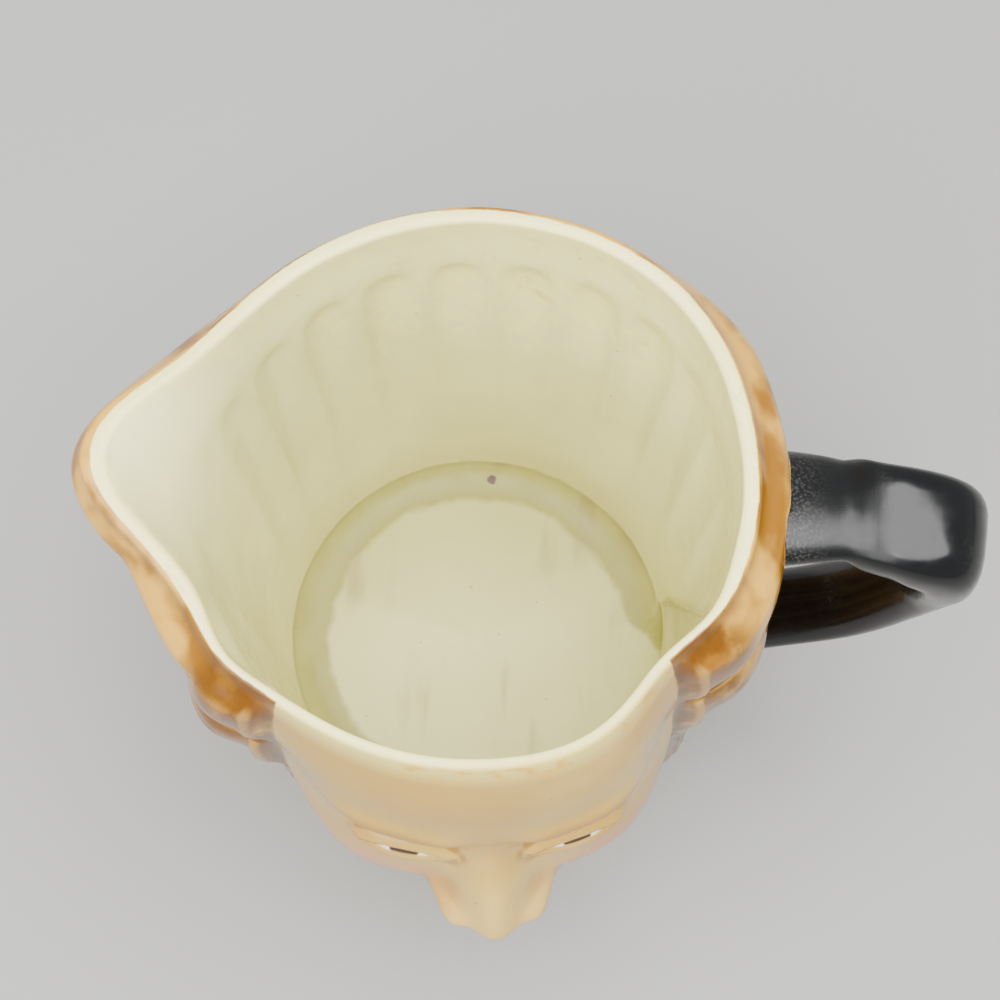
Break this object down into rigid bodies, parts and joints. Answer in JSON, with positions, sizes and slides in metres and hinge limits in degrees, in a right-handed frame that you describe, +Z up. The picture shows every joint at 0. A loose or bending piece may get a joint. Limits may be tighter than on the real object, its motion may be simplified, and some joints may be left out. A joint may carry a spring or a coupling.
{
  "type": "creamer",
  "caption": "Small round cream jug modelled as a head, with a pouring lip at one side and a loop handle at the other.",
  "frame": {"origin": "middle of the flat underside", "axes": "+Z up out of the mouth, the face looks along -Y, the handle stands at +X and the pouring lip at -X"},
  "size_m": [0.1196, 0.0941, 0.0845],
  "materials": {
    "glazed_earthenware": "hand-painted under a clear gloss glaze: cream inside, tan and brown hair, flesh face, black handle"
  },
  "bodies": {
    "root": {"creamer": "glazed_earthenware"}
  },
  "joints": []
}
